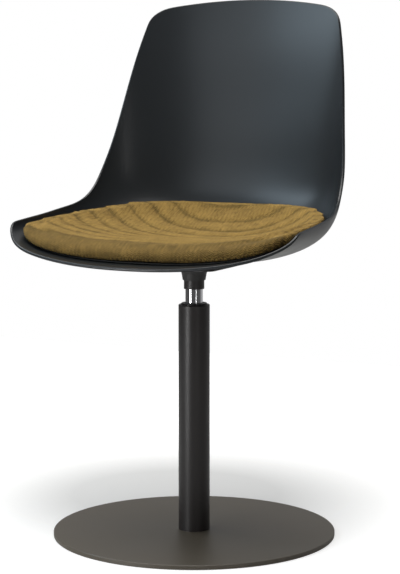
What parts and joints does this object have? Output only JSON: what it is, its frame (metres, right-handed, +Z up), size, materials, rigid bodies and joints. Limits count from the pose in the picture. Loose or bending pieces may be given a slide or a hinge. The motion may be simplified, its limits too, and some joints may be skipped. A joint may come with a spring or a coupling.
{
  "type": "swivel side chair",
  "caption": "Armless swivel chair: one-piece moulded bucket shell with a loose knitted seat pad on a height-adjustable column and a flat disc base.",
  "frame": {"origin": "on the floor at the column axis, on the underside of the base", "axes": "+Z up, -Y towards the front of the seat, +X to the sitter's left"},
  "size_m": [0.4908, 0.457, 0.861],
  "materials": {
    "powder_coated_base": "fine-textured matt powder coat, warm dark grey-brown",
    "powder_coated_tube": "satin powder coat, near black",
    "black_plastic": "fine matt moulded plastic",
    "shell_plastic": "satin moulded plastic, blue-black",
    "chrome": "bright chrome plate",
    "zinc_steel": "bright zinc-plated steel",
    "black_steel": "satin black paint",
    "brass": "plain turned brass",
    "black_rubber": "matt rubber",
    "knit_fabric": "ochre knitted upholstery fabric with raised wave ridges",
    "grey_felt": "dense needled felt",
    "hook_tape": "hook-and-loop tape"
  },
  "bodies": {
    "base": {"floor_underlay": "grey_felt", "base_disc": "powder_coated_base", "base_screws": "zinc_steel", "foot_plug": "zinc_steel", "column_tube": "powder_coated_tube", "guide_bush": "black_plastic", "bearing_plate": "zinc_steel", "lower_race": "zinc_steel"},
    "cage": {"bearing_cage": "brass", "bearing_balls": "zinc_steel"},
    "rod": {"upper_race": "zinc_steel", "rubber_bumper": "black_rubber", "rod_washer": "zinc_steel", "rod_clip": "zinc_steel", "piston_rod": "zinc_steel", "piston_head": "brass", "piston_seal": "black_rubber", "piston_nut": "zinc_steel"},
    "seat": {"gas_cylinder": "chrome", "rod_guide": "brass", "hub_collar": "black_plastic", "hub_socket": "black_steel", "seat_plate": "black_steel", "lever_ears": "black_steel", "lever_pin": "zinc_steel", "seat_screws": "zinc_steel", "seat_washers": "black_rubber", "threaded_inserts": "brass", "seat_shell": "shell_plastic", "pad_fasteners": "hook_tape", "pad_backing": "grey_felt", "seat_pad": "knit_fabric"},
    "lever": {"height_lever": "black_steel", "lever_grip": "black_plastic"},
    "release": {"release_pin": "zinc_steel"}
  },
  "joints": [
    {"name": "seat_swivel", "type": "hinge", "parent": "base", "child": "rod", "pos_m": [0, 0, 0.13], "axis": [0, 0, 1], "continuous": true},
    {"name": "cage_turn", "type": "hinge", "parent": "base", "child": "cage", "pos_m": [0, 0, 0.13], "axis": [0, 0, 1], "continuous": true},
    {"name": "seat_height", "type": "slide", "parent": "rod", "child": "seat", "axis": [0, 0, 1], "range_m": [0, 0.1]},
    {"name": "lever_tilt", "type": "hinge", "parent": "seat", "child": "lever", "pos_m": [-0.022, 0, 0.43219], "axis": [0, 1, 0], "range_deg": [0, 5], "stiffness_Nm_per_rad": 5, "springref_deg": -5.73},
    {"name": "valve_press", "type": "slide", "parent": "seat", "child": "release", "axis": [0, 0, 1], "range_m": [-0.002, 0]}
  ],
  "couplings": [
    {"joint": "cage_turn", "follows": "seat_swivel", "ratio": 0.5},
    {"joint": "valve_press", "follows": "lever_tilt", "m_per_rad": -0.022}
  ]
}
